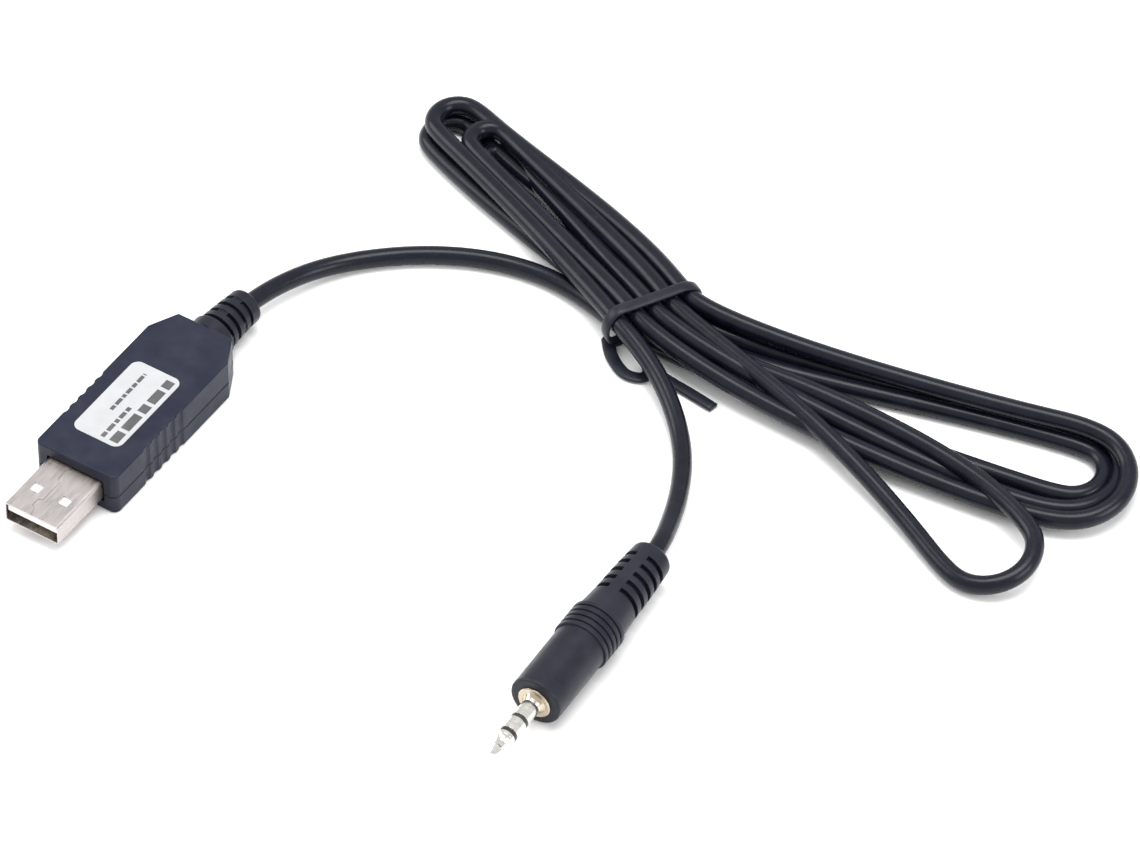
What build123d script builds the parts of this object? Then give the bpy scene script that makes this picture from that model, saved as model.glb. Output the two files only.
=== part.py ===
from build123d import *
import math
import os

# USB serial programming lead: a USB-A plug with its interface board in a two-part
# housing, a thin round cable tied in a hank, and a moulded 3.5 mm three-pole plug.
# Millimetres.  +Y runs from the USB mouth to the cable, +Z is up, Z = 0 is the table.

os.makedirs("parts", exist_ok=True)

# ------------------------------------------------------------------ driving sizes
MOUTH_Y = -34.2              # open end of the USB plug
USB_W, USB_H = 12.0, 4.5     # standard plug section
USB_SHEET = 0.3
USB_VISIBLE = 13.7
USB_INSIDE = 4.0
USB_CORNER = 0.55

CASE_W, CASE_L, CASE_H = 18.1, 41.7, 9.3
CASE_WALL = 1.4
PARTING_Z = 4.0
PARTING_BEVEL = 0.22
CASE_CHAMFER_L = 5.7
CASE_REAR_W = 12.2
GRIP_COUNT, GRIP_PITCH, GRIP_DEPTH = 5, 2.64, 0.28
GRIP_R = 1.7
GRIP_MID_Y = -5.2

AXIS_Z = CASE_H / 2          # height of the USB plug and of the cable's exit
FRONT_Y = MOUTH_Y + USB_VISIBLE
REAR_Y = FRONT_Y + CASE_L
USB_BACK_Y = FRONT_Y + USB_INSIDE

LABEL_W, LABEL_L, LABEL_T = 10.7, 20.6, 0.12
LABEL_X, LABEL_Y = -0.3, -3.5
LABEL_R = 1.7

BOARD_W, BOARD_T = 14.2, 0.8
BOARD_TOP = 4.45
BOARD_Y0, BOARD_Y1 = USB_BACK_Y + 0.3, 14.6

CABLE_D = 3.6
CORE_R = 0.55                # insulated conductor inside the jacket

COLLAR_R, COLLAR_L = 4.6, 2.7
NECK_R = 3.1
BOOT_CORE_R = 2.95
BOOT_FRONT_R, BOOT_END_R = 4.1, 3.65
BOOT_RIB, BOOT_SLOT = 1.12, 1.02
BOOT_CAP_L = 2.64

PLUG_FACE = (101.2, -21.2, 5.53)   # centre of the moulding's front face
PLUG_TURN = 2.2                    # degrees that the plug's axis turns from -Y towards +X
SHAFT_R = 1.75
SHAFT_L = 15.0
MOULD_L = 41.3
MOULD_R, RIDGE_R = 5.1, 5.5

HANK_H = 7.7
TIE_CENTRE = (65.0, 73.5)
TIE_ANGLE = -30.0                  # direction of the bundle through the tie
TIE_W, TIE_T = 2.5, 0.9
NECK_W = 19.0
TIE_LIFT = 0.95


def across(y):
    """Plane square to the housing's length at y; its local x and y are X and Z."""
    return Plane(origin=(0, y, 0), x_dir=(1, 0, 0), z_dir=(0, -1, 0))


def save(builder, label):
    builder.part.label = label
    export_step(builder.part, f"parts/{label}.step")


# ------------------------------------------------------------------ USB contacts
# Four flat springs under the tongue, numbered from -X; the outer pair reaches further.
CONTACT_X = (-3.5, -1.0, 1.0, 3.5)
CONTACT_W, CONTACT_T = 1.0, 0.25
CONTACT_TAIL_Y = BOARD_Y0 + 2.6

contacts = []
for number, x in enumerate(CONTACT_X, start=1):
    reach = 1.2 if number in (1, 4) else 2.2
    with BuildPart() as contact:
        with BuildSketch(Plane.XY.offset(BOARD_TOP)):
            with Locations((x, (MOUTH_Y + reach + CONTACT_TAIL_Y) / 2)):
                Rectangle(CONTACT_W, CONTACT_TAIL_Y - MOUTH_Y - reach)
        extrude(amount=CONTACT_T)
        fillet(contact.edges().filter_by(Axis.X).group_by(Axis.Y)[0], 0.1)
    save(contact, f"usb_contact_{number}")
    contacts.append(contact.part)

# ------------------------------------------------------------------ USB insulator
# White tongue under the top sheet, in one piece with the block that fills the back.
TONGUE_Z0 = BOARD_TOP + CONTACT_T
TONGUE_Z1 = AXIS_Z + USB_H / 2 - USB_SHEET
TONGUE_W = USB_W - 2 * USB_SHEET
BLOCK_Y0 = FRONT_Y - 2.0

with BuildPart() as usb_insulator:
    with BuildSketch(across(USB_BACK_Y)):
        with Locations((0, (TONGUE_Z0 + TONGUE_Z1) / 2)):
            Rectangle(TONGUE_W - 0.5, TONGUE_Z1 - TONGUE_Z0)
    extrude(amount=USB_BACK_Y - MOUTH_Y - 0.35)
    fillet(usb_insulator.edges().filter_by(Axis.X).group_by(Axis.Y)[0], 0.25)
    with BuildSketch(across(USB_BACK_Y)):
        with Locations((0, AXIS_Z)):
            RectangleRounded(TONGUE_W, USB_H - 2 * USB_SHEET, USB_CORNER - USB_SHEET)
    extrude(amount=USB_BACK_Y - BLOCK_Y0)
    for blade in contacts:
        add(blade, mode=Mode.SUBTRACT)
save(usb_insulator, "usb_insulator")

# ------------------------------------------------------------------ USB shell
# Folded sheet, open at the mouth, with two windows above and below, and the
# dovetailed seam of the fold along the middle of the top.
WINDOW, WINDOW_X, WINDOW_Y = 2.0, 3.2, -28.0
SEAM = (
    (0.0, MOUTH_Y - 0.1),
    (-0.45, -32.5),
    (-1.3, -31.9),
    (-1.25, -30.3),
    (-0.75, -30.1),
    (-0.4, -29.8),
    (-0.45, -24.6),
    (-1.15, -24.1),
    (-1.4, -21.4),
    (-0.7, -21.0),
    (-0.65, FRONT_Y + 0.5),
)
SEAM_W, SEAM_DEPTH = 0.13, 0.16

with BuildPart() as usb_shell:
    with BuildSketch(across(USB_BACK_Y)):
        with Locations((0, AXIS_Z)):
            RectangleRounded(USB_W, USB_H, USB_CORNER)
            RectangleRounded(
                USB_W - 2 * USB_SHEET,
                USB_H - 2 * USB_SHEET,
                USB_CORNER - USB_SHEET,
                mode=Mode.SUBTRACT,
            )
    extrude(amount=USB_BACK_Y - MOUTH_Y)
    with BuildSketch(Plane.XY.offset(AXIS_Z)):
        with Locations((-WINDOW_X, WINDOW_Y), (WINDOW_X, WINDOW_Y)):
            Rectangle(WINDOW, WINDOW)
    extrude(amount=USB_H, both=True, mode=Mode.SUBTRACT)
    with BuildSketch(Plane.XY.offset(AXIS_Z + USB_H / 2)):
        with BuildLine():
            Polyline(*SEAM)
        trace(line_width=SEAM_W)
    extrude(amount=-SEAM_DEPTH, mode=Mode.SUBTRACT)
save(usb_shell, "usb_shell")

# ------------------------------------------------------------------ hank
# Outer shape of the tied turns: plan outline, and the one turn that fans out in front.
HANK_OUTLINE = (
    (-1.2, 95.6),
    (2.4, 88.2),
    (10.0, 83.3),
    (25.5, 78.3),
    (43.0, 71.3),
    (58.8, 65.2),
    (65.5, 64.6),
    (73.0, 65.3),
    (88.0, 64.2),
    (106.0, 65.0),
    (130.0, 67.4),
    (147.3, 68.3),
    (156.0, 69.4),
    (162.6, 72.4),
    (166.2, 77.8),
    (164.6, 84.0),
    (158.5, 91.4),
    (149.2, 94.9),
    (139.5, 95.6),
    (129.0, 93.6),
    (111.0, 88.0),
    (91.8, 84.9),
    (72.0, 82.9),
    (60.5, 87.0),
    (47.0, 93.9),
    (29.0, 100.4),
    (13.4, 102.6),
    (3.2, 101.6),
)
FRONT_TURN = (
    (101.0, 70.5),
    (115.7, 62.3),
    (131.2, 55.5),
    (146.0, 50.8),
    (154.2, 53.2),
    (155.6, 60.2),
    (149.0, 66.6),
    (136.0, 71.0),
)
FRONT_TURN_W = 4.2
EXIT_STROKE = ((58.5, 68.0), (71.5, 62.9))
EXIT_W, EXIT_Z0 = 4.2, 2.6
INNER_GAP = (
    (112.0, 77.0),
    (133.0, 77.6),
    (150.0, 81.2),
    (152.6, 84.2),
    (144.0, 86.4),
    (128.0, 83.8),
)

tie_plane = Plane(
    origin=(*TIE_CENTRE, 0),
    x_dir=(-math.sin(math.radians(TIE_ANGLE)), math.cos(math.radians(TIE_ANGLE)), 0),
    z_dir=(math.cos(math.radians(TIE_ANGLE)), math.sin(math.radians(TIE_ANGLE)), 0),
)
NECK_H = HANK_H - TIE_LIFT
NECK_Z = TIE_LIFT + NECK_H / 2
NECK_CORNER = 3.1

with BuildPart() as cord_hank:
    with BuildSketch():
        with BuildLine():
            Spline(*HANK_OUTLINE, periodic=True)
        make_face()
    extrude(amount=HANK_H)
    with BuildSketch():
        with BuildLine():
            Spline(*FRONT_TURN)
        trace(line_width=FRONT_TURN_W)
    extrude(amount=HANK_H)
    with BuildSketch(Plane.XY.offset(EXIT_Z0)):
        with BuildLine():
            Line(*EXIT_STROKE)
        trace(line_width=EXIT_W)
    extrude(amount=HANK_H - EXIT_Z0)
    with BuildSketch():
        with BuildLine():
            Spline(*INNER_GAP, periodic=True)
        make_face()
    extrude(amount=HANK_H, mode=Mode.SUBTRACT)
    with BuildSketch(tie_plane.offset(-TIE_W / 2)):
        with Locations((0, HANK_H / 2)):
            Rectangle(2 * NECK_W, 3 * HANK_H)
        with Locations((0, NECK_Z)):
            RectangleRounded(NECK_W, NECK_H, NECK_CORNER, mode=Mode.SUBTRACT)
    extrude(amount=TIE_W, mode=Mode.SUBTRACT)
save(cord_hank, "cord_hank")

# ------------------------------------------------------------------ cable, housing end
# Control points of the cable from inside the housing to where it goes into the hank.
LEAD_IN = (
    (0.0, 15.5, AXIS_Z),
    (0.0, 24.5, AXIS_Z),
    (0.3, 32.5, 4.6),
    (1.8, 41.5, 3.9),
    (5.0, 50.8, 2.5),
    (11.2, 58.9, 1.85),
    (19.8, 65.8, 1.85),
    (29.8, 70.9, 1.85),
    (40.3, 73.2, 1.85),
    (49.6, 72.4, 2.1),
)

# Control points from the hank to inside the 3.5 mm plug's moulding.
LEAD_OUT = (
    (63.0, 66.3, 5.85),
    (69.3, 63.6, 5.0),
    (76.2, 59.8, 3.8),
    (83.2, 54.1, 2.4),
    (88.9, 47.3, 1.85),
    (93.2, 39.3, 1.85),
    (96.6, 30.6, 3.2),
    (99.3, 22.4, 5.4),
    (99.8, 14.5, PLUG_FACE[2]),
)


def corner_radii(points):
    """Largest arcs that the runs beside each corner allow."""
    radii = []
    for before, corner, after in zip(points, points[1:], points[2:]):
        run_in = Vector(*corner) - Vector(*before)
        run_out = Vector(*after) - Vector(*corner)
        half_turn = math.radians(run_in.get_angle(run_out)) / 2
        radii.append(0.45 * min(run_in.length, run_out.length) / math.tan(half_turn))
    return radii


def report_tube(name, points, path, solid):
    section = math.pi * CABLE_D ** 2 / 4
    print(name, "radii", [round(radius, 1) for radius in corner_radii(points)])
    ratio = solid.volume / section / path.length
    print(name, "length", round(path.length, 1), "volume ratio", round(ratio, 4))


with BuildPart() as cord_lead_in:
    with BuildLine() as lead_in_path:
        FilletPolyline(*LEAD_IN, radius=corner_radii(LEAD_IN))
    lead_in_wire = lead_in_path.wire()
    with BuildSketch(Plane(origin=lead_in_wire @ 0, z_dir=lead_in_wire % 0)):
        Circle(CABLE_D / 2)
    sweep(path=lead_in_wire)
    report_tube("lead in", LEAD_IN, lead_in_wire, cord_lead_in.part)
    add(cord_hank.part, mode=Mode.SUBTRACT)
save(cord_lead_in, "cord_lead_in")

with BuildPart() as cord_lead_out:
    with BuildLine() as lead_out_path:
        FilletPolyline(*LEAD_OUT, radius=corner_radii(LEAD_OUT))
    lead_out_wire = lead_out_path.wire()
    with BuildSketch(Plane(origin=lead_out_wire @ 0, z_dir=lead_out_wire % 0)):
        Circle(CABLE_D / 2)
    sweep(path=lead_out_wire)
    report_tube("lead out", LEAD_OUT, lead_out_wire, cord_lead_out.part)
    add(cord_hank.part, mode=Mode.SUBTRACT)
save(cord_lead_out, "cord_lead_out")

# ------------------------------------------------------------------ strain relief
# Collar, then four discs joined in turn above and below or at the sides, then a cap.
FLANGE_Y0 = REAR_Y - CASE_WALL - 2.2
FLANGE_W, FLANGE_H, FLANGE_T = 9.4, 6.2, 2.0


def cable_plane(distance):
    """Plane square to the cable, that far along it from its start in the housing."""
    share = distance / lead_in_wire.length
    tangent = lead_in_wire % share
    return Plane(
        origin=lead_in_wire @ share,
        x_dir=tangent.cross(Vector(0, 0, 1)),
        z_dir=tangent,
    )


with BuildPart() as strain_relief_boot:
    with BuildSketch(across(FLANGE_Y0)):
        with Locations((0, AXIS_Z)):
            RectangleRounded(FLANGE_W, FLANGE_H, 0.8)
    extrude(amount=-FLANGE_T)
    with BuildSketch(across(FLANGE_Y0 + FLANGE_T)):
        with Locations((0, AXIS_Z)):
            Circle(NECK_R)
    extrude(amount=-(REAR_Y - FLANGE_Y0 - FLANGE_T))
    with BuildSketch(across(REAR_Y)):
        with Locations((0, AXIS_Z)):
            Circle(COLLAR_R)
    extrude(amount=-COLLAR_L)
    fillet(strain_relief_boot.edges().filter_by(GeomType.CIRCLE).group_by(Axis.Y)[-1], 0.35)
    station = REAR_Y + COLLAR_L - LEAD_IN[0][1] - 0.4
    for ring in range(4):
        share = ring / 3
        radius = BOOT_FRONT_R + (BOOT_END_R - BOOT_FRONT_R) * share
        last = ring == 3
        with BuildSketch(cable_plane(station)):
            Circle(BOOT_CORE_R)
        extrude(amount=BOOT_SLOT + 0.5)
        with BuildSketch(cable_plane(station)):
            if ring % 2:
                Rectangle(2.0, 2 * radius - 0.5)
            else:
                Rectangle(2 * radius - 0.5, 2.0)
        extrude(amount=BOOT_SLOT + 0.5)
        station += BOOT_SLOT + (0.4 if ring == 0 else 0.0)
        thickness = BOOT_CAP_L if last else BOOT_RIB
        with BuildSketch(cable_plane(station)):
            Circle(radius)
        extrude(amount=thickness, taper=1.5)
        station += thickness
    fillet(strain_relief_boot.edges().filter_by(GeomType.CIRCLE).sort_by(Axis.Y)[-1], 0.9)
    add(cord_lead_in.part, mode=Mode.SUBTRACT)
save(strain_relief_boot, "strain_relief_boot")
print("boot reaches y", round(strain_relief_boot.part.bounding_box().max.Y, 3))


# ------------------------------------------------------------------ housing covers
def case_outline(inset):
    """Plan of the housing: square front, chamfered rear corners."""
    half = CASE_W / 2 - inset
    rear_half = CASE_REAR_W / 2 - inset * 0.8
    chamfer_y = REAR_Y - CASE_CHAMFER_L - inset * 0.3
    points = (
        (-half, FRONT_Y + inset),
        (half, FRONT_Y + inset),
        (half, chamfer_y),
        (rear_half, REAR_Y - inset),
        (-rear_half, REAR_Y - inset),
        (-half, chamfer_y),
    )
    return Polyline(*points, close=True)


def cover(z_low, z_high, cavity_low, cavity_high):
    """One half of the housing, before its own ribs and pegs."""
    with BuildPart() as half:
        with BuildSketch(Plane.XY.offset(z_low)):
            with BuildLine():
                case_outline(0)
            make_face()
        extrude(amount=z_high - z_low)
        fillet(half.edges().filter_by(Axis.Z).group_by(Axis.Y)[0], 1.4)
        fillet(half.edges().filter_by(Axis.Z).group_by(Axis.Y)[-1], 0.5)
        with BuildSketch(Plane.XY.offset(z_low)):
            middle = (GRIP_COUNT - 1) / 2
            for index in range(GRIP_COUNT):
                y = GRIP_MID_Y + (index - middle) * GRIP_PITCH
                x = CASE_W / 2 + GRIP_R - GRIP_DEPTH
                with Locations((-x, y), (x, y)):
                    Circle(GRIP_R)
        extrude(amount=z_high - z_low, mode=Mode.SUBTRACT)
        outer = Axis.Z if z_low > 0 else Axis((0, 0, 0), (0, 0, -1))
        fillet(half.faces().sort_by(outer)[-1].edges(), 0.38)
        chamfer(half.faces().sort_by(outer)[0].edges(), PARTING_BEVEL)
        with BuildSketch(Plane.XY.offset(cavity_low)):
            with BuildLine():
                case_outline(CASE_WALL)
            make_face()
        extrude(amount=cavity_high - cavity_low, mode=Mode.SUBTRACT)
        with BuildSketch(across(FRONT_Y + CASE_WALL)):
            with Locations((0, AXIS_Z)):
                RectangleRounded(USB_W + 0.06, USB_H + 0.06, USB_CORNER)
        extrude(amount=CASE_WALL + 0.1, mode=Mode.SUBTRACT)
        with BuildSketch(across(FRONT_Y + 0.7)):
            with Locations((0, AXIS_Z)):
                RectangleRounded(USB_W + 0.7, USB_H + 0.7, USB_CORNER)
        extrude(amount=0.8, mode=Mode.SUBTRACT)
        with BuildSketch(across(REAR_Y + 0.1)):
            with Locations((0, AXIS_Z)):
                Circle(NECK_R)
        extrude(amount=CASE_WALL + 0.2, mode=Mode.SUBTRACT)
    return half.part


POST = 1.2
POST_Y = (-11.0, 10.5)

lower_half = cover(0, PARTING_Z, CASE_WALL, PARTING_Z)
with BuildPart() as lower_cover:
    add(lower_half)
    with BuildSketch(Plane.XY.offset(CASE_WALL)):
        for y in POST_Y:
            with Locations((-BOARD_W / 2 + 0.4, y), (BOARD_W / 2 - 0.4, y)):
                Rectangle(POST, 2 * POST)
    extrude(amount=BOARD_TOP - BOARD_T - CASE_WALL)
save(lower_cover, "lower_cover")

upper_half = cover(PARTING_Z, CASE_H, PARTING_Z, CASE_H - CASE_WALL)
with BuildPart() as upper_cover:
    add(upper_half)
    with BuildSketch(Plane.XY.offset(BOARD_TOP)):
        for y in POST_Y:
            with Locations((-BOARD_W / 2 + 0.4, y), (BOARD_W / 2 - 0.4, y)):
                Rectangle(POST, POST)
    extrude(amount=CASE_H - CASE_WALL - BOARD_TOP)
save(upper_cover, "upper_cover")

with BuildPart() as label_sticker:
    with BuildSketch(Plane.XY.offset(CASE_H)):
        with Locations((LABEL_X, LABEL_Y)):
            RectangleRounded(LABEL_W, LABEL_L, LABEL_R)
    extrude(amount=LABEL_T)
save(label_sticker, "label_sticker")

# ------------------------------------------------------------------ circuit board
with BuildPart() as circuit_board:
    with BuildSketch(Plane.XY.offset(BOARD_TOP)):
        with Locations((0, (BOARD_Y0 + BOARD_Y1) / 2)):
            RectangleRounded(BOARD_W, BOARD_Y1 - BOARD_Y0, 0.5)
    extrude(amount=-BOARD_T)
save(circuit_board, "circuit_board")

CHIP_W, CHIP_L, CHIP_H, CHIP_Y = 3.9, 9.9, 1.45, -5.5
CHIP_STANDOFF = 0.15
LEAD_PITCH, LEAD_SIDE_COUNT, LEAD_W, LEAD_T = 1.27, 8, 0.42, 0.2
LEAD_SHOULDER_Z = BOARD_TOP + 0.85
LEAD_REACH = 3.0

with BuildPart() as uart_chip:
    with BuildSketch(Plane.XY.offset(BOARD_TOP + CHIP_STANDOFF)):
        with Locations((0, CHIP_Y)):
            Rectangle(CHIP_W, CHIP_L)
    extrude(amount=CHIP_H)
    chamfer(uart_chip.faces().sort_by(Axis.Z)[-1].edges(), 0.2)
    with BuildSketch(Plane.XY.offset(BOARD_TOP + CHIP_STANDOFF + CHIP_H)):
        with Locations((-1.1, CHIP_Y + CHIP_L / 2 - 1.1)):
            Circle(0.4)
    extrude(amount=-0.12, mode=Mode.SUBTRACT)
save(uart_chip, "uart_chip")

with BuildPart() as uart_chip_leads:
    for row in range(LEAD_SIDE_COUNT):
        y = CHIP_Y + (row - (LEAD_SIDE_COUNT - 1) / 2) * LEAD_PITCH
        with BuildSketch(across(y + LEAD_W / 2)) as gull_wing:
            for side in (-1, 1):
                with BuildLine():
                    Polyline(
                        (side * CHIP_W / 2, LEAD_SHOULDER_Z),
                        (side * (CHIP_W / 2 + 0.35), LEAD_SHOULDER_Z),
                        (side * (CHIP_W / 2 + 0.45), BOARD_TOP),
                        (side * LEAD_REACH, BOARD_TOP),
                        (side * LEAD_REACH, BOARD_TOP + LEAD_T),
                        (side * (CHIP_W / 2 + 0.62), BOARD_TOP + LEAD_T),
                        (side * (CHIP_W / 2 + 0.5), LEAD_SHOULDER_Z + LEAD_T),
                        (side * CHIP_W / 2, LEAD_SHOULDER_Z + LEAD_T),
                        close=True,
                    )
                make_face()
        extrude(amount=LEAD_W)
save(uart_chip_leads, "uart_chip_leads")

CRYSTAL_L, CRYSTAL_W, CRYSTAL_H, CRYSTAL_Y = 11.0, 4.5, 3.2, 4.4
with BuildPart() as crystal_can:
    with BuildSketch(Plane.XY.offset(BOARD_TOP)):
        with Locations((0, CRYSTAL_Y)):
            SlotOverall(CRYSTAL_L, CRYSTAL_W)
    extrude(amount=0.4)
    with BuildSketch(Plane.XY.offset(BOARD_TOP + 0.4)):
        with Locations((0, CRYSTAL_Y)):
            SlotOverall(CRYSTAL_L - 0.7, CRYSTAL_W - 0.7)
    extrude(amount=CRYSTAL_H - 0.4)
    fillet(crystal_can.faces().sort_by(Axis.Z)[-1].edges(), 0.4)
save(crystal_can, "crystal_can")

CHIP_PART_L, CHIP_PART_W = 2.0, 1.25
CAPACITOR_PLACES = ((-5.3, -9.6), (5.3, -9.6), (-5.3, -0.8), (5.3, -0.8))
with BuildPart() as ceramic_capacitors:
    with BuildSketch(Plane.XY.offset(BOARD_TOP)):
        with Locations(*CAPACITOR_PLACES):
            Rectangle(CHIP_PART_W, CHIP_PART_L)
    extrude(amount=0.85)
save(ceramic_capacitors, "ceramic_capacitors")

RESISTOR_PLACES = ((-5.3, -6.4), (5.3, -6.4), (-5.3, -3.6), (5.3, -3.6))
with BuildPart() as chip_resistors:
    with BuildSketch(Plane.XY.offset(BOARD_TOP)):
        with Locations(*RESISTOR_PLACES):
            Rectangle(CHIP_PART_W, CHIP_PART_L)
    extrude(amount=0.5)
save(chip_resistors, "chip_resistors")

TRANSISTOR_PLACES = ((-4.6, 9.0), (4.6, 9.0))
with BuildPart() as level_transistors:
    with BuildSketch(Plane.XY.offset(BOARD_TOP)):
        with Locations(*TRANSISTOR_PLACES):
            Rectangle(2.9, 1.3)
    extrude(amount=1.0)
    chamfer(level_transistors.edges().group_by(Axis.Z)[-1], 0.15)
save(level_transistors, "level_transistors")

# ------------------------------------------------------------------ conductors, housing end
WIRE_X = {"transmit_wire": -1.15, "receive_wire": 0.0, "ground_wire": 1.15}
WIRE_END_Y = 11.2
for wire_name, x in WIRE_X.items():
    with BuildPart() as wire:
        with BuildSketch(across(LEAD_IN[0][1])):
            with Locations((x, BOARD_TOP + CORE_R)):
                Circle(CORE_R)
        extrude(amount=LEAD_IN[0][1] - WIRE_END_Y)
    save(wire, wire_name)

# ------------------------------------------------------------------ twist tie
# A flat band round the neck of the hank; its ends curl out on the table in front.
TIE_CURL = (
    (59.9, 66.4),
    (63.0, 63.0),
    (67.4, 60.6),
    (70.8, 61.6),
    (70.9, 64.5),
)
TIE_TAIL = ((71.0, 64.0), (86.5, 62.2))
TIE_TAIL_T = 0.85

with BuildPart() as twist_tie:
    with BuildSketch(tie_plane.offset(-TIE_W / 2)):
        with Locations((0, NECK_Z)):
            RectangleRounded(NECK_W + 2 * TIE_T, NECK_H + 2 * TIE_T, NECK_CORNER + TIE_T)
            RectangleRounded(NECK_W, NECK_H, NECK_CORNER, mode=Mode.SUBTRACT)
    extrude(amount=TIE_W)
    with BuildSketch(Plane.XY.offset(TIE_LIFT - TIE_T)):
        with BuildLine():
            Spline(*TIE_CURL)
        trace(line_width=TIE_W - 0.2)
        with BuildLine():
            Line(*TIE_TAIL)
        trace(line_width=TIE_W - 0.2)
    extrude(amount=TIE_TAIL_T)
    add(cord_hank.part, mode=Mode.SUBTRACT)
save(twist_tie, "twist_tie")

# ------------------------------------------------------------------ 3.5 mm plug
# Local x runs along the plug towards its tip, from the moulding's front face.
turn = math.radians(PLUG_TURN)
plug_direction = (math.sin(turn), -math.cos(turn), 0)
plug_plane = Plane(origin=PLUG_FACE, x_dir=plug_direction, z_dir=(0, 0, 1))
plug_axis = Axis(PLUG_FACE, plug_direction)

RING_A = (5.1, 5.95)         # rear insulating ring, along the shaft
RING_B = (8.85, 9.7)         # front insulating ring
SLEEVE_BORE = 1.3
RING_TAIL_R = 1.05
TIP_BUSH_R = 0.8
STEM_R = 0.5
FLANGE = (-0.4, 0.45, 3.3)
SLEEVE_TAIL = (-6.0, 2.5)


STEM_END = SLEEVE_TAIL[0] - 4.6
RING_TAIL_END = SLEEVE_TAIL[0] - 2.4

PLUG_PROFILES = {
    "plug_sleeve": (
        (SLEEVE_TAIL[0], SLEEVE_BORE),
        (SLEEVE_TAIL[0], SLEEVE_TAIL[1]),
        (FLANGE[0], SLEEVE_TAIL[1]),
        (FLANGE[0], FLANGE[2]),
        (FLANGE[1] - 0.15, FLANGE[2]),
        (FLANGE[1], FLANGE[2] - 0.15),
        (FLANGE[1], 2.35),
        (1.0, 1.95),
        (1.5, SHAFT_R),
        (RING_A[0], SHAFT_R),
        (RING_A[0], SLEEVE_BORE),
    ),
    "plug_insulator_rear": (
        (SLEEVE_TAIL[0] - 0.8, RING_TAIL_R),
        (SLEEVE_TAIL[0] - 0.8, SLEEVE_BORE),
        (RING_A[0], SLEEVE_BORE),
        (RING_A[0], SHAFT_R),
        (RING_A[1], SHAFT_R),
        (RING_A[1], RING_TAIL_R),
    ),
    "plug_ring": (
        (RING_TAIL_END, TIP_BUSH_R),
        (RING_TAIL_END, RING_TAIL_R),
        (RING_A[1], RING_TAIL_R),
        (RING_A[1], SHAFT_R),
        (RING_B[0], SHAFT_R),
        (RING_B[0], TIP_BUSH_R),
    ),
    "plug_insulator_front": (
        (RING_TAIL_END - 0.8, STEM_R),
        (RING_TAIL_END - 0.8, TIP_BUSH_R),
        (RING_B[0], TIP_BUSH_R),
        (RING_B[0], SHAFT_R),
        (RING_B[1], SHAFT_R),
        (RING_B[1], STEM_R),
    ),
}

contacts_and_rings = []
for piece_name, profile in PLUG_PROFILES.items():
    with BuildPart() as turned_piece:
        with BuildSketch(plug_plane):
            with BuildLine():
                Polyline(*profile, close=True)
            make_face()
        revolve(axis=plug_axis)
    save(turned_piece, piece_name)
    contacts_and_rings.append(turned_piece.part)

# The tip has a shoulder, a waist that the socket's spring drops into, and a blunt nose.
TIP_COLLAR_END = 10.45
TIP_WAIST = ((10.75, 1.5), (11.9, 1.2), (13.35, 1.52))
TIP_NOSE = ((14.72, 0.82), (14.93, 0.6), (SHAFT_L, 0.3))

with BuildPart() as plug_tip:
    with BuildSketch(plug_plane):
        with BuildLine():
            Polyline(
                (SHAFT_L, 0.0),
                (STEM_END, 0.0),
                (STEM_END, STEM_R),
                (RING_B[1], STEM_R),
                (RING_B[1], SHAFT_R - 0.03),
                (TIP_COLLAR_END, SHAFT_R - 0.03),
                TIP_WAIST[0],
            )
            ThreePointArc(*TIP_WAIST)
            Line(TIP_WAIST[-1], TIP_NOSE[0])
            ThreePointArc(*TIP_NOSE)
            Line(TIP_NOSE[-1], (SHAFT_L, 0.0))
        make_face()
    revolve(axis=plug_axis)
save(plug_tip, "plug_tip")
contacts_and_rings.append(plug_tip.part)

# Three cores fan out from the cable to the tails of the tip, ring and sleeve.
CORE_WIRE_R = 0.5
CORES_START = -(MOULD_L - 5.7)
CORE_START_OFFSET = 0.75
PLUG_CORES = (
    ("plug_tip_wire", 90, 0.0, STEM_END),
    ("plug_ring_wire", 210, RING_TAIL_R + CORE_WIRE_R, RING_TAIL_END + 1.2),
    ("plug_sleeve_wire", 330, 1.85, SLEEVE_TAIL[0]),
)


def in_plug(along, offset, clock):
    """Point in the plug: distance towards the tip, offset from the axis, clock angle."""
    sideways = offset * math.cos(math.radians(clock))
    upwards = offset * math.sin(math.radians(clock))
    return plug_plane.from_local_coords(Vector(along, sideways, upwards))


plug_cores = []
for core_name, clock, end_offset, end_along in PLUG_CORES:
    start = in_plug(CORES_START, CORE_START_OFFSET, clock)
    end = in_plug(end_along, end_offset, clock)
    with BuildPart() as core:
        with BuildSketch(Plane(origin=start, z_dir=end - start)):
            Circle(CORE_WIRE_R)
        extrude(amount=(end - start).length)
        for metal in contacts_and_rings:
            add(metal, mode=Mode.SUBTRACT)
        add(cord_lead_out.part, mode=Mode.SUBTRACT)
    save(core, core_name)
    plug_cores.append(core.part)


def plug_section(along):
    """Plane square to the plug's axis; its local x is up and its normal is to the tip."""
    return Plane(origin=in_plug(along, 0, 0), x_dir=(0, 0, 1), z_dir=plug_direction)


INNER_MOULD_START, INNER_MOULD_R = -15.0, 3.7
with BuildPart() as plug_inner_mould:
    with BuildSketch(plug_section(INNER_MOULD_START)):
        Circle(INNER_MOULD_R)
    extrude(amount=FLANGE[0] - INNER_MOULD_START)
    for inner in contacts_and_rings + plug_cores:
        add(inner, mode=Mode.SUBTRACT)
save(plug_inner_mould, "plug_inner_mould")

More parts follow.
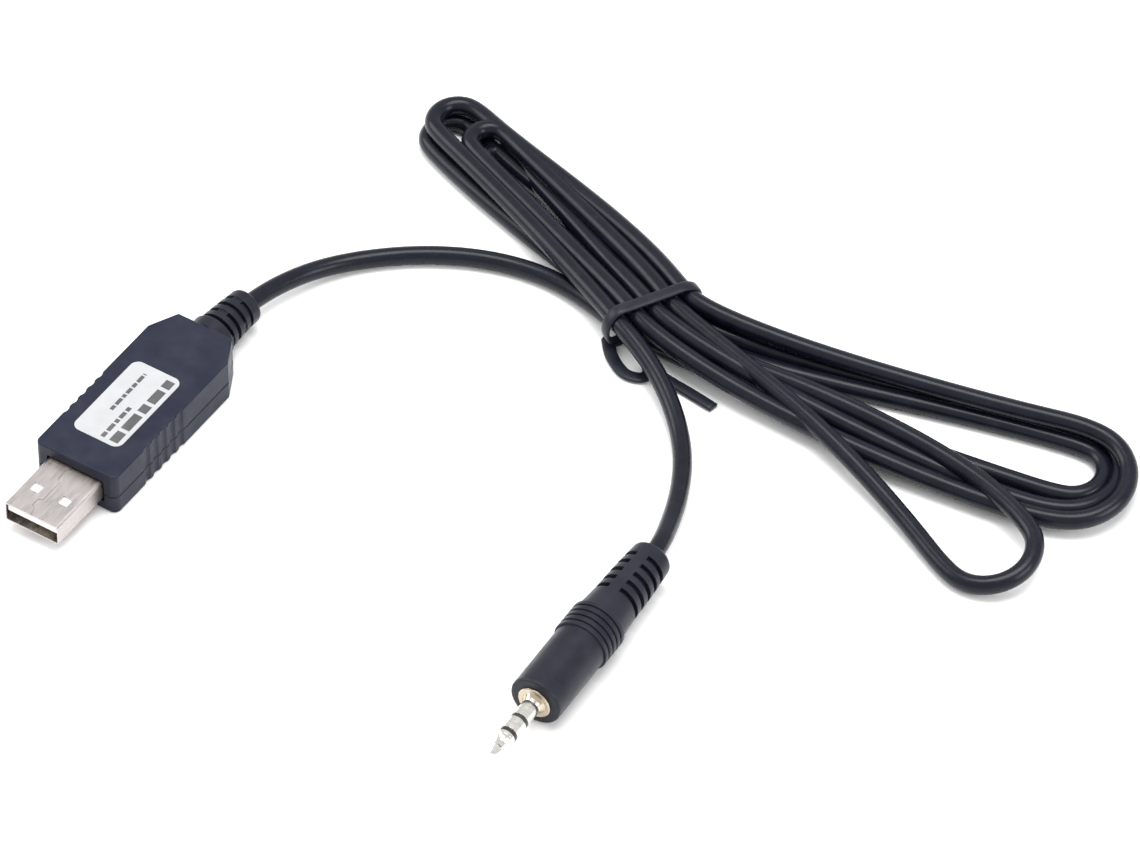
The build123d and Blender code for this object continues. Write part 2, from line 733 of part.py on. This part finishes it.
# Overmoulding: plain barrel, five finger ridges, then a slotted tapering tail.
RIDGE_START, RIDGE_PITCH, RIDGE_W, RIDGE_COUNT = 15.6, 1.38, 1.02, 5
RIDGE_EDGE = 0.16
TAIL_STATIONS = ((22.6, 5.0), (27.5, 4.6), (34.0, 4.4), (40.3, 4.0))
TAIL_ROUND = 0.8
SLOT_START, SLOT_PITCH, SLOT_W, SLOT_COUNT = 27.8, 2.4, 1.15, 5
SLOT_DEPTH, SPINE_W = 1.0, 2.2

barrel = [(0.0, 0.0), (0.0, MOULD_R - 0.4), (-0.12, MOULD_R - 0.12), (-0.4, MOULD_R)]
for ridge in range(RIDGE_COUNT):
    start = -(RIDGE_START + ridge * RIDGE_PITCH)
    barrel.append((start, MOULD_R))
    barrel.append((start, RIDGE_R - RIDGE_EDGE))
    barrel.append((start - RIDGE_EDGE, RIDGE_R))
    barrel.append((start - RIDGE_W + RIDGE_EDGE, RIDGE_R))
    barrel.append((start - RIDGE_W, RIDGE_R - RIDGE_EDGE))
    barrel.append((start - RIDGE_W, MOULD_R))
for back, radius in TAIL_STATIONS:
    barrel.append((-back, radius))
for step in range(1, 6):
    angle = math.radians(18 * step)
    barrel.append((
        -(TAIL_STATIONS[-1][0] + (MOULD_L - TAIL_STATIONS[-1][0]) * math.sin(angle)),
        TAIL_STATIONS[-1][1] - TAIL_ROUND * (1 - math.cos(angle)),
    ))
barrel.append((-MOULD_L, 0.0))

with BuildPart() as plug_overmould:
    with BuildSketch(plug_plane):
        with BuildLine():
            Polyline(*barrel, close=True)
        make_face()
    revolve(axis=plug_axis)
    for row in range(SLOT_COUNT):
        back = SLOT_START + row * SLOT_PITCH
        floor_r = TAIL_STATIONS[1][1] - SLOT_DEPTH - 0.045 * row * SLOT_PITCH
        with BuildSketch(plug_section(-back - SLOT_W / 2)):
            Circle(2 * MOULD_R)
            Circle(floor_r, mode=Mode.SUBTRACT)
            Rectangle(4 * MOULD_R, SPINE_W, mode=Mode.SUBTRACT)
        extrude(amount=SLOT_W, mode=Mode.SUBTRACT)
    add(plug_inner_mould.part, mode=Mode.SUBTRACT)
    for inner in contacts_and_rings + plug_cores:
        add(inner, mode=Mode.SUBTRACT)
    add(cord_lead_out.part, mode=Mode.SUBTRACT)
save(plug_overmould, "plug_overmould")
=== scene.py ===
import math

import bmesh
import bpy
from mathutils import Matrix, Vector


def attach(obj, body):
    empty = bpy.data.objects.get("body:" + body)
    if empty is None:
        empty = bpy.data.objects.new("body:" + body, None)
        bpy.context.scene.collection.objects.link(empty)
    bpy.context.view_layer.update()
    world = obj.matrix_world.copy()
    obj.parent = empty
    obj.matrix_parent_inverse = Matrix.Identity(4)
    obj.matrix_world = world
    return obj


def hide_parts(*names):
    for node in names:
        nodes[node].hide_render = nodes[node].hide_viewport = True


MM = 0.001

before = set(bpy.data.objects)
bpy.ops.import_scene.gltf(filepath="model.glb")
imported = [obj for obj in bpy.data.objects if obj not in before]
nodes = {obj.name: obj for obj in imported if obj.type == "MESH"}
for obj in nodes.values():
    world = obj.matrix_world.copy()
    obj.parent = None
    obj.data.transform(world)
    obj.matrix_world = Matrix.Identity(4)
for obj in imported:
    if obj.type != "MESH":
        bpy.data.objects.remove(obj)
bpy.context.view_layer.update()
scene = bpy.context.scene


# ---------------------------------------------------------------- camera
CAMERA_AT = Vector((0.62403, -0.81148, 1.05128))
CAMERA_FORWARD = Vector((-0.38062, 0.58357, -0.71734))
CAMERA_RIGHT = Vector((0.83698, 0.54723, 0.00109))
CAMERA_UP = Vector((-0.39318, 0.59998, 0.69673))
CAMERA_LENS = 249.9

camera_data = bpy.data.cameras.new("camera")
camera_data.sensor_width = 36.0
camera_data.lens = CAMERA_LENS
camera_data.clip_start = 0.1
camera_data.clip_end = 20.0
camera = bpy.data.objects.new("camera", camera_data)
scene.collection.objects.link(camera)
turn = Matrix((CAMERA_RIGHT, CAMERA_UP, -CAMERA_FORWARD)).transposed().to_4x4()
camera.matrix_world = Matrix.Translation(CAMERA_AT) @ turn
scene.camera = camera


# ---------------------------------------------------------------- node helpers
class Graph:
    """A material's node tree, with short calls for the nodes used here."""

    def __init__(self, name):
        self.material = bpy.data.materials.new(name)
        self.material.use_nodes = True
        self.tree = self.material.node_tree
        self.bsdf = self.tree.nodes["Principled BSDF"]
        self.where = self.add("ShaderNodeTexCoord").outputs["Object"]

    def add(self, kind, **settings):
        node = self.tree.nodes.new(kind)
        for key, value in settings.items():
            setattr(node, key, value)
        return node

    def link(self, output, socket):
        self.tree.links.new(output, socket)

    def put(self, socket, value):
        if isinstance(value, bpy.types.NodeSocket):
            self.link(value, socket)
        else:
            socket.default_value = value

    def stretched(self, scale):
        mapping = self.add("ShaderNodeMapping")
        self.link(self.where, mapping.inputs["Vector"])
        mapping.inputs["Scale"].default_value = scale
        return mapping.outputs["Vector"]

    def noise(self, scale, detail=3.0, roughness=0.55, vector=None):
        node = self.add("ShaderNodeTexNoise")
        self.link(vector or self.where, node.inputs["Vector"])
        node.inputs["Scale"].default_value = scale
        node.inputs["Detail"].default_value = detail
        node.inputs["Roughness"].default_value = roughness
        return node.outputs["Fac"]

    def ramp(self, value, stops):
        node = self.add("ShaderNodeValToRGB")
        self.link(value, node.inputs["Fac"])
        elements = node.color_ramp.elements
        while len(elements) < len(stops):
            elements.new(0.5)
        for element, (place, colour) in zip(elements, stops):
            element.position = place
            element.color = colour if len(colour) == 4 else (*colour, 1.0)
        return node.outputs["Color"]

    def math(self, operation, a, b=0.0, clamp=False):
        node = self.add("ShaderNodeMath", operation=operation, use_clamp=clamp)
        self.put(node.inputs[0], a)
        self.put(node.inputs[1], b)
        return node.outputs[0]

    def span(self, value, low, high, to_low=0.0, to_high=1.0):
        node = self.add("ShaderNodeMapRange")
        self.link(value, node.inputs["Value"])
        node.inputs["From Min"].default_value = low
        node.inputs["From Max"].default_value = high
        node.inputs["To Min"].default_value = to_low
        node.inputs["To Max"].default_value = to_high
        return node.outputs["Result"]

    def blend(self, factor, a, b):
        node = self.add("ShaderNodeMix", data_type="RGBA", blend_type="MIX")
        self.put(node.inputs[0], factor)
        self.put(node.inputs[6], a)
        self.put(node.inputs[7], b)
        return node.outputs[2]

    def axis(self, letter):
        node = self.add("ShaderNodeSeparateXYZ")
        self.link(self.where, node.inputs[0])
        return node.outputs[letter]

    def soft_edge(self, radius, samples=6):
        node = self.add("ShaderNodeBevel", samples=samples)
        node.inputs["Radius"].default_value = radius
        return node.outputs["Normal"]

    def edge_mask(self, radius):
        """White on convex edges narrower than the radius."""
        geometry = self.add("ShaderNodeNewGeometry")
        dot = self.add("ShaderNodeVectorMath", operation="DOT_PRODUCT")
        self.link(self.soft_edge(radius), dot.inputs[0])
        self.link(geometry.outputs["Normal"], dot.inputs[1])
        return self.span(dot.outputs["Value"], 1.0, 0.86)

    def bump(self, height, strength, distance, normal=None):
        node = self.add("ShaderNodeBump")
        node.inputs["Strength"].default_value = strength
        node.inputs["Distance"].default_value = distance
        self.link(height, node.inputs["Height"])
        if normal is not None:
            self.link(normal, node.inputs["Normal"])
        return node.outputs["Normal"]

    def finish(self, colour, rough, normal=None, **values):
        self.put(self.bsdf.inputs["Base Color"], colour)
        self.put(self.bsdf.inputs["Roughness"], rough)
        if normal is not None:
            self.link(normal, self.bsdf.inputs["Normal"])
        for key, value in values.items():
            self.bsdf.inputs[key.replace("_", " ")].default_value = value
        return self.material


def plastic(name, colour, lighter, rough, grain, grain_depth, edge=0.12 * MM, **values):
    """Moulded plastic: faint mottle, fine spark-eroded grain, paler worn edges."""
    g = Graph(name)
    mottle = g.noise(180.0, 4.0)
    halfway = tuple(0.5 * (a + b) for a, b in zip(colour, lighter))
    base = g.ramp(mottle, ((0.35, colour), (0.68, halfway)))
    worn = g.math("MULTIPLY", g.edge_mask(edge * 1.6), g.span(g.noise(900.0), 0.35, 0.65, 0.15, 0.7))
    base = g.blend(worn, base, (*lighter, 1.0))
    grain_height = g.noise(grain, 2.0, 0.6)
    normal = g.bump(grain_height, 0.5, grain_depth, g.soft_edge(edge))
    gloss = g.span(g.noise(420.0, 5.0), 0.3, 0.7, rough - 0.05, rough + 0.06)
    return g.finish(base, gloss, normal, **values)


housing_plastic = plastic(
    "housing_plastic", (0.009, 0.011, 0.026), (0.028, 0.030, 0.044),
    0.40, 9000.0, 0.012 * MM, 0.16 * MM, Specular_IOR_Level=0.2,
)
boot_pvc = plastic(
    "boot_pvc", (0.007, 0.008, 0.015), (0.024, 0.026, 0.036),
    0.36, 6500.0, 0.012 * MM, 0.12 * MM, Specular_IOR_Level=0.22,
)
epoxy = plastic("black_epoxy", (0.02, 0.02, 0.02), (0.05, 0.05, 0.05), 0.6, 12000.0, 0.01 * MM)
white_plastic = plastic("white_plastic", (0.72, 0.72, 0.70), (0.8, 0.8, 0.78), 0.4, 8000.0, 0.006 * MM)
ring_plastic = plastic(
    "ring_plastic", (0.012, 0.012, 0.012), (0.03, 0.03, 0.03), 0.35, 9000.0, 0.005 * MM, 0.05 * MM
)
ceramic = plastic("capacitor_ceramic", (0.42, 0.30, 0.18), (0.6, 0.5, 0.36), 0.5, 9000.0, 0.005 * MM)
red_wire = plastic("red_insulation", (0.50, 0.03, 0.025), (0.6, 0.08, 0.06), 0.4, 9000.0, 0.004 * MM)
white_wire = plastic("white_insulation", (0.72, 0.72, 0.7), (0.8, 0.8, 0.8), 0.4, 9000.0, 0.004 * MM)
black_wire = plastic("black_insulation", (0.02, 0.02, 0.02), (0.05, 0.05, 0.05), 0.4, 9000.0, 0.004 * MM)


def jacket_material():
    """Cable jacket: satin extruded PVC with a faint mottle and scuffs."""
    g = Graph("cable_jacket")
    base = g.ramp(g.noise(260.0, 4.0), ((0.35, (0.004, 0.005, 0.010)), (0.7, (0.007, 0.008, 0.015))))
    scuff = g.span(g.noise(520.0, 6.0, 0.7), 0.60, 0.78, 0.0, 0.35)
    base = g.blend(scuff, base, (0.020, 0.022, 0.028, 1.0))
    rough = g.span(g.noise(700.0, 4.0), 0.3, 0.7, 0.22, 0.31)
    normal = g.bump(g.noise(5200.0, 3.0), 0.35, 0.012 * MM)
    return g.finish(base, rough, normal, Specular_IOR_Level=0.22)


jacket = jacket_material()


def sheet_metal():
    """Bright nickel on the USB plug's folded sheet, with a patchy painted shadow darkening it close to
    the housing's overhang.
    """
    g = Graph("nickel_sheet")
    streaks = g.noise(1400.0, 4.0, 0.6, g.stretched((1.0, 0.16, 1.0)))
    patch = g.noise(420.0, 4.0, 0.62)
    bright = g.ramp(streaks, ((0.3, (0.49, 0.455, 0.445)), (0.7, (0.54, 0.50, 0.49))))
    # Painted shadow: the sheet is darkened towards brown near the housing, where its overhang shades it,
    # and broken up by patchy noise.
    housing_shadow_ramp = g.span(g.axis("Y"), -24.0 * MM, -20.6 * MM, 0.0, 0.75)
    housing_shadow = g.math("MULTIPLY", housing_shadow_ramp, g.span(patch, 0.32, 0.62, 0.3, 1.0), clamp=True)
    base = g.blend(housing_shadow, bright, (0.30, 0.255, 0.20, 1.0))
    rough = g.math("ADD", g.span(streaks, 0.3, 0.7, 0.24, 0.36), g.math("MULTIPLY", housing_shadow, 0.18))
    normal = g.bump(g.noise(3800.0, 3.0), 0.2, 0.008 * MM, g.soft_edge(0.04 * MM))
    return g.finish(base, rough, normal, Metallic=1.0)


def turned_metal():
    """Plated brass of the 3.5 mm plug, with turning lines and a warm stain at the flange."""
    g = Graph("turned_nickel")
    lines = g.noise(3000.0, 3.0, 0.5, g.stretched((0.3, 1.0, 0.3)))
    base = g.ramp(lines, ((0.3, (0.66, 0.64, 0.60)), (0.7, (0.80, 0.78, 0.74))))
    flange = g.span(g.axis("Y"), -23.2 * MM, -21.9 * MM, 0.0, 0.7)
    base = g.blend(flange, base, (0.42, 0.33, 0.20, 1.0))
    rough = g.span(lines, 0.3, 0.7, 0.13, 0.22)
    normal = g.bump(lines, 0.08, 0.01 * MM, g.soft_edge(0.08 * MM))
    return g.finish(base, rough, normal, Metallic=1.0)


def contact_gold():
    g = Graph("contact_gold")
    scratches = g.noise(2500.0, 3.0, 0.5, g.stretched((1.0, 0.08, 1.0)))
    base = g.ramp(scratches, ((0.3, (0.70, 0.46, 0.15)), (0.7, (0.85, 0.60, 0.24))))
    normal = g.bump(scratches, 0.1, 0.01 * MM)
    return g.finish(base, g.span(scratches, 0.3, 0.7, 0.18, 0.3), normal, Metallic=1.0)


def tinned_metal():
    g = Graph("tinned_metal")
    cloud = g.noise(1500.0, 4.0)
    base = g.ramp(cloud, ((0.3, (0.55, 0.56, 0.57)), (0.7, (0.74, 0.75, 0.76))))
    normal = g.bump(cloud, 0.15, 0.01 * MM, g.soft_edge(0.06 * MM))
    return g.finish(base, g.span(cloud, 0.3, 0.7, 0.25, 0.4), normal, Metallic=1.0)


def board_material():
    """Green solder mask over a faint weave."""
    g = Graph("green_board")
    weave = g.add("ShaderNodeTexWave", wave_type="BANDS", bands_direction="X")
    g.link(g.where, weave.inputs["Vector"])
    weave.inputs["Scale"].default_value = 900.0
    base = g.ramp(g.noise(600.0), ((0.3, (0.008, 0.10, 0.035)), (0.7, (0.014, 0.15, 0.055))))
    normal = g.bump(weave.outputs["Fac"], 0.1, 0.01 * MM)
    return g.finish(base, g.span(g.noise(500.0), 0.3, 0.7, 0.2, 0.32), normal)


def label_material():
    """White vinyl with a faint fibre and a slightly soiled rim."""
    g = Graph("white_label")
    fibre = g.noise(2400.0, 5.0, 0.6)
    base = g.ramp(g.noise(300.0, 4.0), ((0.3, (0.40, 0.405, 0.415)), (0.7, (0.44, 0.445, 0.455))))
    soil = g.math("MULTIPLY", g.edge_mask(0.5 * MM), 0.25)
    base = g.blend(soil, base, (0.45, 0.44, 0.42, 1.0))
    return g.finish(base, g.span(fibre, 0.3, 0.7, 0.38, 0.5), g.bump(fibre, 0.12, 0.01 * MM))


nickel = sheet_metal()
turned = turned_metal()
gold = contact_gold()
tinned = tinned_metal()
board = board_material()
label_white = label_material()

LOOKS = {
    "upper_cover": housing_plastic,
    "lower_cover": housing_plastic,
    "label_sticker": label_white,
    "usb_shell": nickel,
    "usb_insulator": white_plastic,
    "usb_contact_1": gold,
    "usb_contact_2": gold,
    "usb_contact_3": gold,
    "usb_contact_4": gold,
    "circuit_board": board,
    "uart_chip": epoxy,
    "uart_chip_leads": tinned,
    "crystal_can": tinned,
    "ceramic_capacitors": ceramic,
    "chip_resistors": epoxy,
    "level_transistors": epoxy,
    "transmit_wire": red_wire,
    "receive_wire": white_wire,
    "ground_wire": black_wire,
    "strain_relief_boot": boot_pvc,
    "cord_lead_in": jacket,
    "cord_hank": jacket,
    "cord_lead_out": jacket,
    "twist_tie": boot_pvc,
    "plug_overmould": boot_pvc,
    "plug_inner_mould": white_plastic,
    "plug_sleeve": turned,
    "plug_ring": turned,
    "plug_tip": turned,
    "plug_insulator_front": ring_plastic,
    "plug_insulator_rear": ring_plastic,
    "plug_tip_wire": red_wire,
    "plug_ring_wire": white_wire,
    "plug_sleeve_wire": black_wire,
}
for node_name, look in LOOKS.items():
    mesh = nodes[node_name].data
    mesh.materials.clear()
    mesh.materials.append(look)


# ---------------------------------------------------------------- label print
# Plain bars in place of lettering: middle x, height, first y and last y of each row.
PRINT_ROWS = ((3.2, 1.9, -12.8, 5.6), (0.75, 0.9, -12.8, -4.0), (-1.9, 0.8, -6.3, 4.6))
PRINT_Z = 9.425
BAR_LENGTHS, BAR_GAP = (1.5, 2.3, 1.1, 1.9), 0.45

ink = plastic("label_ink", (0.05, 0.05, 0.055), (0.12, 0.12, 0.125), 0.5, 9000.0, 0.004 * MM)
corners, bars = [], []
for middle_x, height, first_y, last_y in PRINT_ROWS:
    y, number = first_y, 0
    while y < last_y:
        end = min(y + BAR_LENGTHS[number % len(BAR_LENGTHS)] * height, last_y)
        start = len(corners)
        for x, along in ((-1, y), (1, y), (1, end), (-1, end)):
            corners.append(((middle_x + x * height / 2) * MM, along * MM, PRINT_Z * MM))
        bars.append(tuple(range(start, start + 4)))
        y, number = end + BAR_GAP * height, number + 1
print_mesh = bpy.data.meshes.new("label_print")
print_mesh.from_pydata(corners, [], bars)
print_mesh.materials.append(ink)
label_print = bpy.data.objects.new("label_print", print_mesh)
scene.collection.objects.link(label_print)
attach(label_print, "root")


# ---------------------------------------------------------------- cable
CABLE_D = 3.6
TIE_CENTRE = Vector((65.0, 73.5, 0.0))
ALONG = Vector((0.866, -0.5, 0.0))       # direction of the bundle through the tie
ACROSS = Vector((0.5, 0.866, 0.0))
STRAND_PITCH = 3.7                       # between neighbouring strands in the tie
LOW, HIGH = 1.8, 5.4                     # heights of the two layers of turns
TIE_LOW, TIE_HIGH = 2.8, 6.0             # the same two layers inside the tie

# Millimetres: from inside the housing to where the cable goes under the tie.
LEAD_IN = [
    (0.0, 15.5, 4.65), (0.0, 24.5, 4.65), (0.3, 32.5, 4.6), (1.8, 41.5, 3.9),
    (5.0, 50.8, 2.5), (11.2, 58.9, 1.85), (19.8, 65.8, 1.85), (29.8, 70.9, 1.85),
    (40.3, 73.2, 1.85), (49.6, 72.4, 2.1),
]

# Millimetres: from the tie to inside the 3.5 mm plug's moulding.
LEAD_OUT = [
    (63.0, 66.3, 5.85), (69.3, 63.6, 5.0), (76.2, 59.8, 3.8), (83.2, 54.1, 2.4),
    (88.9, 47.3, 1.85), (93.2, 39.3, 1.85), (96.6, 30.6, 3.2), (99.3, 22.4, 5.4),
    (99.8, 14.5, 5.53),
]

# The turns in winding order, right-hand and left-hand ones alternating.  Each has the
# slot in the tie that it leaves from, counted in strands from the middle, and that
# slot's height; the middle, radius and facing angle of its end bend, and +1 where it is
# wound anticlockwise; how far it swings straight on from the tie and into the bend,
# then out of the bend and into the tie; and its heights halfway out, at the start and
# end of the bend, and halfway back.
TURNS = [
    (-1.5, TIE_LOW, (150.2, 83.5), 6.6, 10.0, 1, (4.0, 24.0), (34.0, 14.0), (LOW, LOW, LOW, LOW)),
    (0.5, TIE_LOW, (17.5, 94.0), 3.2, 152.0, -1, (12.0, 16.0), (16.0, 12.0), (LOW, LOW, LOW, 3.6)),
    (0.0, TIE_HIGH, (149.0, 83.3), 10.8, 16.0, 1, (8.0, 26.0), (30.0, 8.0), (4.6, LOW, LOW, LOW)),
    (1.5, TIE_LOW, (6.0, 94.5), 4.8, 157.0, 1, (18.0, 20.0), (24.0, 4.0), (LOW, LOW, LOW, LOW)),
    (-0.5, TIE_LOW, (148.5, 57.0), 8.8, -30.0, -1, (10.0, 30.0), (34.0, 6.0), (HIGH, 5.0, LOW, HIGH)),
    (1.0, TIE_HIGH, (14.5, 94.6), 3.7, 158.0, 1, (16.0, 20.0), (20.0, 8.0), (HIGH, HIGH, HIGH, HIGH)),
    (-1.0, TIE_HIGH, (151.5, 80.8), 11.4, 16.0, 1, (12.0, 26.0), (26.0, 8.0), (3.8, 3.0, HIGH, HIGH)),
    (2.0, TIE_HIGH, (6.5, 95.9), 4.8, 160.0, 1, (24.0, 18.0), (30.0, 6.0), (HIGH, HIGH, HIGH, HIGH)),
]
STRAND_STEPS, BEND_STEPS = 8, 5


def in_tie(slot, height):
    """Where a strand passes under the tie."""
    return TIE_CENTRE + ACROSS * (slot * STRAND_PITCH) + Vector((0, 0, height))


def between(a, a_handle, b, b_handle, share):
    """Point on the smooth curve from a to b that leaves and arrives along the handles."""
    rest = 1 - share
    near, far = a + a_handle, b + b_handle
    return a * rest ** 3 + near * (3 * share * rest ** 2) + far * (3 * share ** 2 * rest) + b * share ** 3


def eased(low, high, share):
    return low + (high - low) * share * share * (3 - 2 * share)


def strand_height(start, middle, end, share):
    """Height along a strand: eased from its start to its middle and on to its end."""
    if share < 0.5:
        return eased(start, middle, 2 * share)
    return eased(middle, end, 2 * share - 1)


def hank_turn(turn, leave, arrive, away):
    """Points of one turn: out from the tie, round its end bend, and back."""
    _, _, middle, radius, facing, sense, swing_out, swing_back, heights = turn
    out_z, bend_in_z, bend_out_z, back_z = heights
    angle = math.radians(facing)
    ahead = Vector((math.cos(angle), math.sin(angle), 0))
    sideways = Vector((-ahead.y, ahead.x, 0)) * (sense * radius)
    centre = Vector((*middle, 0))
    bend_in, bend_out = centre - sideways, centre + sideways
    points = []
    for step in range(1, STRAND_STEPS):
        share = step / STRAND_STEPS
        place = between(leave, away * swing_out[0], bend_in, -ahead * swing_out[1], share)
        points.append((place.x, place.y, strand_height(leave.z, out_z, bend_in_z, share)))
    for step in range(BEND_STEPS + 1):
        share = step / BEND_STEPS
        turned = math.pi * share
        place = centre - sideways * math.cos(turned) + ahead * (radius * math.sin(turned))
        points.append((place.x, place.y, eased(bend_in_z, bend_out_z, share)))
    for step in range(1, STRAND_STEPS):
        share = step / STRAND_STEPS
        place = between(bend_out, -ahead * swing_back[0], arrive, away * swing_back[1], share)
        points.append((place.x, place.y, strand_height(bend_out_z, back_z, arrive.z, share)))
    return points


route = list(LEAD_IN)
slots = [in_tie(turn[0], turn[1]) for turn in TURNS] + [Vector(LEAD_OUT[0])]
for number, turn in enumerate(TURNS):
    away = ALONG if number % 2 == 0 else ALONG * -1
    route.append(tuple(slots[number]))
    route += hank_turn(turn, slots[number], slots[number + 1], away)
route += LEAD_OUT

cable_curve = bpy.data.curves.new("cable", "CURVE")
cable_curve.dimensions = "3D"
cable_curve.bevel_depth = CABLE_D / 2 * MM
cable_curve.bevel_resolution = 8
cable_curve.use_fill_caps = True
cable_curve.resolution_u = 14
cable_line = cable_curve.splines.new("NURBS")
cable_line.points.add(len(route) - 1)
for point, place in zip(cable_line.points, route):
    point.co = (*(c * MM for c in place), 1.0)
cable_line.order_u = 3
cable_line.use_endpoint_u = True
cable_curve.materials.append(jacket)
cable = bpy.data.objects.new("cable", cable_curve)
scene.collection.objects.link(cable)
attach(cable, "root")
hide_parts("cord_lead_in", "cord_hank", "cord_lead_out")


# ---------------------------------------------------------------- twist tie
def swept_band(name, path, widths_along, width, thickness, material):
    """Flat band with rounded edges along a path; widths_along gives its width's direction."""
    section = []
    for k in range(16):
        angle = math.tau * k / 16
        across = math.copysign(abs(math.cos(angle)) ** 0.55, math.cos(angle)) * width / 2
        through = math.copysign(abs(math.sin(angle)) ** 0.8, math.sin(angle)) * thickness / 2
        section.append((across, through))
    bm = bmesh.new()
    rings = []
    for index, (place, side) in enumerate(zip(path, widths_along)):
        before = path[max(index - 1, 0)]
        after = path[min(index + 1, len(path) - 1)]
        tangent = (after - before).normalized()
        across = (side - side.dot(tangent) * tangent).normalized()
        normal = tangent.cross(across)
        rings.append([bm.verts.new(place + across * a + normal * t) for a, t in section])
    for near, far in zip(rings, rings[1:]):
        for k in range(len(section)):
            bm.faces.new((near[k], near[k - 1], far[k - 1], far[k]))
    bm.faces.new(rings[0])
    bm.faces.new(reversed(rings[-1]))
    bmesh.ops.recalc_face_normals(bm, faces=bm.faces)
    mesh = bpy.data.meshes.new(name)
    bm.to_mesh(mesh)
    bm.free()
    mesh.materials.append(material)
    for face in mesh.polygons:
        face.use_smooth = True
    piece = bpy.data.objects.new(name, mesh)
    scene.collection.objects.link(piece)
    return piece


def smooth_path(points, steps):
    """Catmull-Rom path through given points."""
    padded = [2 * points[0] - points[1], *points, 2 * points[-1] - points[-2]]
    out = []
    for a, b, c, d in zip(padded, padded[1:], padded[2:], padded[3:]):
        for k in range(steps):
            t = k / steps
            square = 2 * a - 5 * b + 4 * c - d
            cube = 3 * b - 3 * c + d - a
            out.append(0.5 * ((2 * b) + (c - a) * t + square * t * t + cube * t ** 3))
    out.append(points[-1].copy())
    return out


TIE_W, TIE_T = 2.5, 0.85


def at_tie(across, height, along=0.0):
    return (TIE_CENTRE + ACROSS * across + ALONG * along + Vector((0, 0, height))) * MM


# One turn round the bundle, from the front, over the top, round the back,
# underneath, and out to the front again.
loop_points = [
    at_tie(-9.4, 2.2, 0.9), at_tie(-9.9, 4.2, 0.5), at_tie(-9.2, 6.6, 0.2), at_tie(-7.2, 8.25, 0.0),
    at_tie(-3.8, 8.3, 0.0), at_tie(0.0, 8.3, 0.0), at_tie(3.8, 8.3, 0.0), at_tie(7.2, 8.25, 0.0),
    at_tie(9.4, 7.0, 0.0), at_tie(9.95, 4.4, 0.0), at_tie(9.2, 1.8, 0.0), at_tie(7.0, 0.55, 0.0),
    at_tie(3.0, 0.5, 0.0), at_tie(-1.5, 0.5, 0.0), at_tie(-6.0, 0.5, 0.0), at_tie(-8.8, 0.6, 0.2),
]
CURL = [(59.9, 66.4, 0.6), (63.0, 63.0, 0.6), (67.4, 60.6, 0.6), (70.8, 61.6, 0.6), (70.9, 64.5, 0.6)]
TAIL = [(69.6, 64.4, 0.6), (75.0, 63.6, 0.6), (81.0, 62.9, 0.6), (86.0, 62.2, 0.6)]


STEPS_PER_SPAN = 6


def tie_band(name, points, width, upright_spans):
    """Band whose width follows the bundle for the first spans, then lies on the table."""
    path = smooth_path(points, STEPS_PER_SPAN)
    sides = []
    for index in range(len(path)):
        if index < upright_spans * STEPS_PER_SPAN:
            sides.append(ALONG)
        else:
            tangent = path[min(index + 1, len(path) - 1)] - path[max(index - 1, 0)]
            sides.append(Vector((0, 0, 1)).cross(tangent))
    band = swept_band(name, path, sides, width * MM, TIE_T * MM, boot_pvc)
    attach(band, "root")
    return band


tie_loop = tie_band("tie_loop", loop_points + [Vector(p) * MM for p in CURL], TIE_W, len(loop_points) - 1)
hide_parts("twist_tie")
tail_points = [Vector(p) * MM for p in TAIL]
tie_tail = tie_band("tie_tail", tail_points, 2.3, 0)


# ---------------------------------------------------------------- floor and light
def floor_material():
    g = Graph("floor")
    tone = g.ramp(g.noise(3.0, 2.0), ((0.3, (0.93, 0.93, 0.93)), (0.7, (0.95, 0.95, 0.95))))
    return g.finish(tone, 0.75, Specular_IOR_Level=0.2)


floor_mesh = bpy.data.meshes.new("floor")
floor_mesh.from_pydata([(-4, -4, 0), (4, -4, 0), (4, 4, 0), (-4, 4, 0)], [], [(0, 1, 2, 3)])
floor_mesh.materials.append(floor_material())
floor = bpy.data.objects.new("floor", floor_mesh)
floor.location.z = -0.02 * MM
scene.collection.objects.link(floor)

world = bpy.data.worlds.new("studio")
world.use_nodes = True
world.node_tree.nodes["Background"].inputs["Color"].default_value = (1.0, 1.0, 1.0, 1.0)
world.node_tree.nodes["Background"].inputs["Strength"].default_value = 0.9
scene.world = world


def softbox(name, place, target, size, power):
    data = bpy.data.lights.new(name, "AREA")
    data.shape = "RECTANGLE"
    data.size, data.size_y = size
    data.energy = power
    lamp = bpy.data.objects.new(name, data)
    lamp.location = place
    lamp.rotation_mode = "QUATERNION"
    lamp.rotation_quaternion = (Vector(target) - Vector(place)).to_track_quat("-Z", "Y")
    scene.collection.objects.link(lamp)


MIDDLE = (0.07, 0.03, 0.0)
softbox("overhead", (0.05, 0.15, 1.1), MIDDLE, (0.9, 0.5), 11.0)
softbox("left_fill", (-0.9, -0.2, 0.6), MIDDLE, (0.6, 0.6), 5.0)
softbox("right_fill", (1.0, 0.1, 0.5), MIDDLE, (0.5, 0.5), 4.0)

scene.view_settings.view_transform = "Standard"
